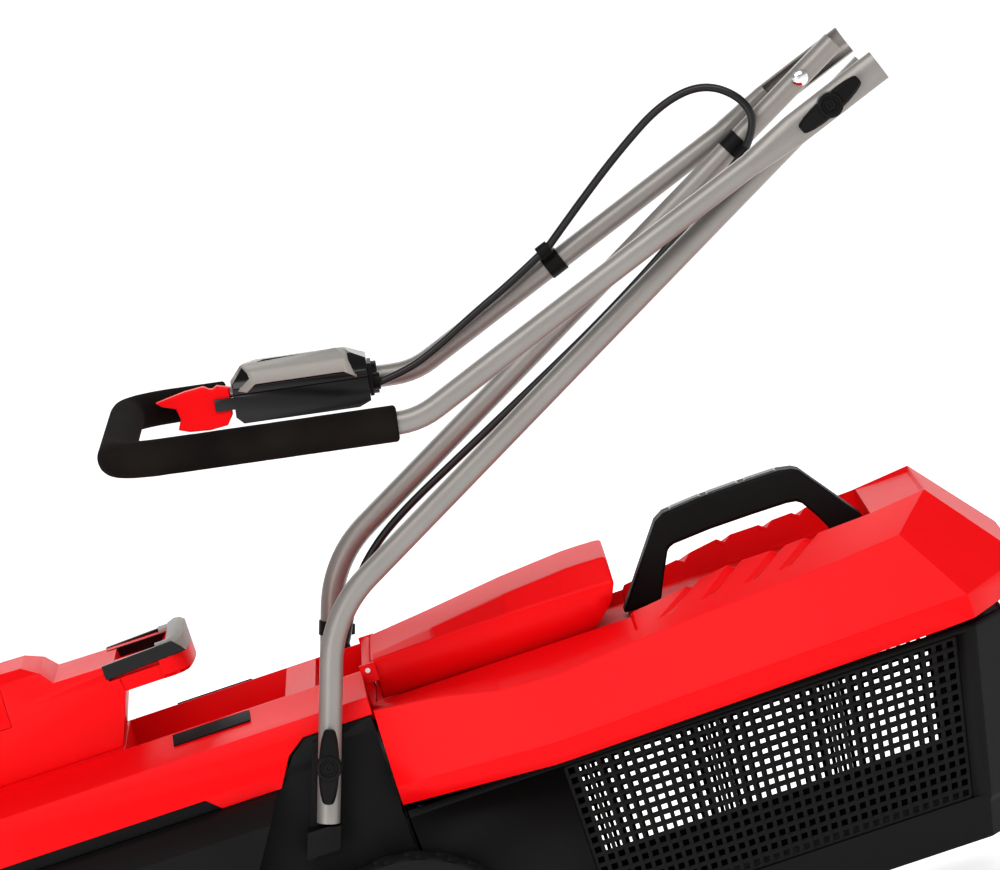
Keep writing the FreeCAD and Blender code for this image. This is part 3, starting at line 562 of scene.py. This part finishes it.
BASKET_LOW, BASKET_HIGH = 60, 262
BASKET_WIDEN = 18          # growth of the half width from bottom to top
BAND_LOW, BAND_HIGH = 92, 97
BAND_DEPTH = 1.6           # how far the bottom stands back below the band
WINDOW_LOW, WINDOW_HIGH = 101, 256
WINDOW_FRONT, WINDOW_REAR, WINDOW_LEAN = -184, -540, -32


def side_y(z):
    """Outer face of the basket's side at a height."""
    return 167.4 - (BASKET_HIGH - z) * BASKET_WIDEN / (BASKET_HIGH - BASKET_LOW)


def basket_ring(z, inset):
    """Six corners of the basket's outline at a height, from the front to the left and round."""
    share = (z - BASKET_LOW) / (BASKET_HIGH - BASKET_LOW)
    front = -44 + 10 * share - inset
    rear = -578 - 44 * share + inset
    half = 150 + BASKET_WIDEN * share - inset
    return [(front, -half, z), (front, half, z), (rear + 30, half, z), (rear, half - 30, z),
            (rear, 30 - half, z), (rear + 30, -half, z)]


def window_spot(across, up, side, depth=0.0):
    """Point of the side window; across runs rearward and up runs upward, both 0 to 1."""
    rear = WINDOW_REAR + WINDOW_LEAN * up
    z = WINDOW_LOW + (WINDOW_HIGH - WINDOW_LOW) * up
    x = WINDOW_FRONT + (rear - WINDOW_FRONT) * across
    return (x, side * (side_y(z) - depth), z)


def basket():
    """Tapered tub, open at the mouth and at the top, with a window in each side."""
    points, faces = [], []

    def add(face):
        faces.append(tuple(range(len(points), len(points) + len(face))))
        points.extend(face)

    levels = (BASKET_LOW, BAND_LOW, BAND_HIGH, WINDOW_LOW, WINDOW_HIGH, BASKET_HIGH)
    for low_z, high_z in zip(levels, levels[1:]):
        low = basket_ring(low_z, BAND_DEPTH if low_z <= BAND_LOW else 0)
        high = basket_ring(high_z, BAND_DEPTH if high_z <= BAND_LOW else 0)
        for index in range(6):
            after = (index + 1) % 6
            if low_z == WINDOW_LOW and index in (0, 1, 5):
                continue
            add([low[index], low[after], high[after], high[index]])
    for side in (1, -1):
        low, high = basket_ring(WINDOW_LOW, 0), basket_ring(WINDOW_HIGH, 0)
        front = (low[1], high[1]) if side > 0 else (low[0], high[0])
        rear = (low[2], high[2]) if side > 0 else (low[5], high[5])
        add([front[0], window_spot(0, 0, side), window_spot(0, 1, side), front[1]])
        add([rear[0], window_spot(1, 0, side), window_spot(1, 1, side), rear[1]])
    add(basket_ring(BASKET_LOW, BAND_DEPTH))
    mesh = mesh_of("basket", points, faces)
    finish_piece("grass_basket", mesh, "grass_box", "black_moulding", ["box_basket"], bevel=1.4,
                 angle=18, solid=3.0)


def side_mesh(name, side, node):
    """Moulded mesh of square holes; its columns fan out toward the rear."""
    columns, rows = 36, 15
    across, up = [0.0], [0.0]
    for count, marks in ((columns, across), (rows, up)):
        step = 1 / (count + 0.4)
        for index in range(count):
            marks.extend([(index + 0.4) * step, (index + 1.0) * step])
        marks.append(1.0)
    width = len(across)
    points = [window_spot(a, u, side, 0.6) for u in up for a in across]
    faces = []
    for row in range(len(up) - 1):
        for column in range(width - 1):
            if row % 2 and column % 2:
                continue
            start = row * width + column
            faces.append((start, start + 1, start + 1 + width, start + width))
    finish_piece(name, mesh_of(name, points, faces), "grass_box", "black_moulding", [node],
                 solid=1.8 * side)


def lid_handle():
    """Black carry handle: an arch of rounded section with three raised pads on top."""
    outer = [(-283, 350.4), (-311, 388), (-339, 425), (-349, 430.5), (-387, 433.5), (-430, 434.2),
             (-466, 434), (-479, 431.5), (-485, 428), (-507, 398), (-529, 368), (-529, 350.4)]
    inner = [(-321, 350.4), (-332, 374), (-343, 396), (-350, 398.5), (-387, 401), (-430, 401.5),
             (-464, 401.3), (-473, 400), (-478, 396.5), (-488, 380), (-495, 366), (-495, 350.4)]
    rings = []
    for (x0, z0), (x1, z1) in zip(outer, inner):
        rings.append([(x0, -15, z0), (x0, 15, z0), (x1, 15, z1), (x1, -15, z1)])
    mesh = rings_mesh("lid_handle", rings)
    finish_piece("lid_handle", mesh, "grass_box", "black_moulding", ["box_handle"], bevel=3.6,
                 angle=30, segments=4)
    rings = []
    for start, stop in ((-356, -388), (-394, -426), (-432, -464)):
        for x, grow in ((start, 0), (start - 2, 1.0), (stop + 2, 1.0), (stop, 0)):
            top = table(x, [(-466, 434.0), (-430, 434.2), (-387, 433.5), (-349, 430.5)]) + grow
            rings.append([(x, -9, top - 1.4), (x, -8, top), (x, 8, top), (x, 9, top - 1.4)])
    points, faces = [], []
    for block in range(0, len(rings), 4):
        start = len(points)
        points.extend(point for ring in rings[block:block + 4] for point in ring)
        for row in range(3):
            for column in range(3):
                spot = start + row * 4 + column
                faces.append((spot, spot + 1, spot + 5, spot + 4))
    finish_piece("lid_handle_pads", mesh_of("lid_handle_pads", points, faces), "grass_box",
                 "gloss_black", bevel=0.4, angle=20)


# ---------------------------------------------------------------- rear flap

def flap():
    """Moulded flap over the mouth of the grass box, with sloping shoulders and open below."""
    stations = [(-43, 397, 394.5, 357.5), (-106, 403.5, 395.5, 357), (-180, 412, 395.5, 356),
                (-244, 416.5, 394.5, 353.6), (-260, 416.5, 394, 361), (-277, 416, 393.5, 376.6),
                (-284, 415, 393, 391.5)]
    rings = []
    for x, top, fold, low in stations:
        half = [(x, 60, top), (x, 80, fold), (x, 80 + (fold - low) * 6 / 40, low)]
        rings.append([(x, -y, z) for x, y, z in reversed(half)] + half)
    points = [point for ring in rings for point in ring]
    faces = [tuple(range(6)), tuple(range(len(points) - 1, len(points) - 7, -1))]
    for row in range(len(rings) - 1):
        for column in range(5):
            start = row * 6 + column
            faces.append((start, start + 6, start + 7, start + 1))
    finish_piece("flap_cover", mesh_of("flap_cover", points, faces), "rear_flap", "red_moulding",
                 ["rear_flap"], bevel=2.6, angle=9, segments=4, solid=2.5)
    turns = [2 * math.pi * step / 24 for step in range(24)]
    rings = [[(-38 + 5.8 * math.cos(turn), y, 388 + 5.8 * math.sin(turn)) for turn in turns]
             for y in (-81.5, 81.5)]
    finish_piece("flap_knuckle", rings_mesh("flap_knuckle", rings), "rear_flap", "red_moulding",
                 bevel=0.6, angle=40)


# ---------------------------------------------------------------- switch box and trigger

def grip_spot(u, v, w):
    """Point in the frame of the right grip bar: along it, toward the middle, and above it."""
    return (u * math.cos(GRIP_RISE) - w * math.sin(GRIP_RISE), v - GRIP_HALF,
            641.18 + u * math.sin(GRIP_RISE) + w * math.cos(GRIP_RISE))


def switch_plate():
    """Grey plate over the top and the inner shoulder of the switch box."""
    spots = [(-101, 20.5, 33.6), (-92, 20.5, 35.6), (2.5, 20.5, 31.6), (13.9, 22, 18.0),
             (13.9, 38, 10.5), (-1, 41, 6.6), (-10, 41, 13.8), (-97, 41, 13.8), (-109, 41, 6.6),
             (-110, 30, 22.0), (-99, 33.2, 25.8), (-6, 33.2, 25.8)]
    faces = [(1, 2, 11, 10), (10, 11, 6, 7), (11, 2, 3, 4, 5, 6), (1, 10, 7, 8, 9, 0)]
    mesh = mesh_of("switch_plate", [grip_spot(*spot) for spot in spots], faces)
    finish_piece("switch_plate", mesh, "handlebar", "grey_moulding", bevel=1.0, angle=8,
                 solid=-1.0)


def trigger():
    """Curved lever: a beak that lies over the thumb side and a skirt below it."""
    outline = [(16, -13), (16, 14), (28, 17.2), (32, 14.4), (36, 14.8), (41, 18.0), (60, 15.6),
               (90, 8.4), (84, 4.0), (71, 0.4), (67, -10), (71, -21), (60, -24.5), (40, -25.5),
               (22, -23)]
    rings = []
    for v, shrink in ((20.9, 1.4), (22.4, 0.3), (28, 0.0), (34.4, 0.3), (35.9, 1.4)):
        centre_u, centre_w = 45, -4
        rings.append([grip_spot(u - (u - centre_u) * shrink / 40, v + (2.5 if w < -9 else 0.0),
                                w - (w - centre_w) * shrink / 20) for u, w in outline])
    finish_piece("trigger_beak", rings_mesh("trigger_beak", rings), "trigger", "red_moulding",
                 ["trigger_lever"], bevel=1.2, angle=28, segments=3)


# ---------------------------------------------------------------- hood handle

def bow_rings(profile, start):
    """Rings round the end of the carry handle, from one rail to the other."""
    stations = [(51.5, start), (51.5, 138.0), (49.0, 133.0), (43.0, 129.5), (30.0, 127.5),
                (15.0, 126.8), (0.0, 126.5)]
    plan = stations + [(-y, x) for y, x in reversed(stations[:-1])]
    rings = []
    for index, (y, x) in enumerate(plan):
        y0, x0 = plan[max(index - 1, 0)]
        y1, x1 = plan[min(index + 1, len(plan) - 1)]
        along = Vector((x1 - x0, y1 - y0, 0)).normalized()
        out = Vector((along.y, -along.x, 0)) * 9.6
        rise = 9.0 * (1 - (y / 51.5) ** 2)
        ring = []
        for reach, z, share in profile:
            spot = Vector((x, y, 0)) - out * reach
            ring.append((spot.x, spot.y, z + share * rise))
        rings.append(ring)
    return rings


def hood_end_cap():
    """Red end of the carry handle's bow, with a soft grey cap over it."""
    bow = [(-1, 441, 0), (-0.6, 437.5, 0), (0.6, 437.5, 0), (0.9, 441, 0), (1, 456.5, 0),
           (-1, 456.5, 0)]
    finish_piece("handle_bow", rings_mesh("handle_bow", bow_rings(bow, 148.0)), "deck",
                 "red_moulding", bevel=1.2, angle=35)
    cap = [(-1, 456.8, 0), (1, 456.8, 0), (1, 462, 0.6), (0.7, 469.6, 1), (0.0, 472, 1),
           (-0.6, 471.2, 1), (-1, 468, 1)]
    finish_piece("handle_cap", rings_mesh("handle_cap", bow_rings(cap, 147.0)), "deck",
                 "grey_moulding", ["handle_end_cap"], bevel=1.2, angle=35)


def handle_inserts():
    """Black inserts let into both faces of the carry handle's rails."""
    inner = [(199, 458), (199, 466.6), (140, 466.6), (150, 456)]
    outer = [(201, 453.6), (201, 467.7), (131, 470.3), (119.5, 457.8)]
    for hand, side in (("left", 1), ("right", -1)):
        pads = ["handle_grip_pads"] if side > 0 else []
        for name, faces, outline, nodes in (("inner", (39.9, 38.9), inner, []),
                                            ("outer", (56.0, 61.6), outer, pads)):
            rings = [[(x, side * y, z) for x, z in outline] for y in faces]
            piece = "handle_" + name + "_" + hand
            finish_piece(piece, rings_mesh(piece, rings), "deck", "gloss_black", nodes, bevel=0.8)


# ---------------------------------------------------------------- tyres

def tyre(place, hand):
    """Tyre with two rows of tread blocks and a plain sidewall."""
    node = "tyre_" + place + "_" + hand
    low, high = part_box(node)
    radius = 0.5 * (high.z - low.z) / MM
    centre_x = (0.5 * (low.x + high.x) - REAR_AXLE) / MM
    centre_z = 0.5 * (low.z + high.z) / MM
    inner, outer = low.y / MM, high.y / MM
    wide = outer - inner
    steps = 144
    profile = [(0.0, 20.0, 0), (0.0, 4.0, 0), (0.04, 1.8, 0), (0.10, 0.0, 1), (0.30, 0.0, 1),
               (0.36, 0.0, 2), (0.64, 0.0, 2), (0.70, 0.0, 3), (0.90, 0.0, 3), (0.96, 1.8, 0),
               (1.0, 4.0, 0), (1.0, 20.0, 0)]
    rings = []
    for share, drop, row in profile:
        ring = []
        for step in range(steps):
            cut = 0.0
            if row and (step + 2 * row) % 6 in (0, 5):
                cut = 2.6
            reach = radius - drop - cut
            turn = 2 * math.pi * step / steps
            ring.append((centre_x + reach * math.sin(turn), inner + wide * share,
                         centre_z + reach * math.cos(turn)))
        rings.append(ring)
    piece = finish_piece("tread_" + place + "_" + hand, rings_mesh(node, rings, caps=False),
                         "wheel_" + place + "_" + hand, "tyre", [node])
    piece.data.set_sharp_from_angle(angle=math.radians(40))


# ---------------------------------------------------------------- CAD nodes

EDGE_WIDTHS = {"deck_shell": 1.6, "deck_sides": 1.6, "tube_feet": 1.6, "deck_cover": 2.2,
               "motor_hood": 2.4, "battery_cover": 2.2, "side_badges": 0.4,
               "switch_box_body": 2.4, "switch_box_cover": 2.0, "height_lever": 1.5}


def dress_nodes():
    """CAD nodes that stay get their slot's material and moulded edges."""
    slots = {part["node"]: part["material_slot"] for part in frame["record"]["subparts"]}
    for name, node in frame["nodes"].items():
        node.data.materials.clear()
        slot = "gloss_black" if name == "switch_box_cover" else slots[name]
        node.data.materials.append(MATERIALS[slot])
    for name, width in EDGE_WIDTHS.items():
        round_node(name, width)


make_camera()
make_studio()
MATERIALS = make_materials()
SMOOTH = smooth_group()
dress_nodes()
box_lid()
basket()
side_mesh("mesh_left", 1, "grille_left")
side_mesh("mesh_right", -1, "grille_right")
lid_handle()
flap()
foam_grip()
switch_plate()
trigger()
cables()
knobs()
hood_end_cap()
handle_inserts()
for PLACE in ("rear", "front"):
    tyre(PLACE, "left")
    tyre(PLACE, "right")
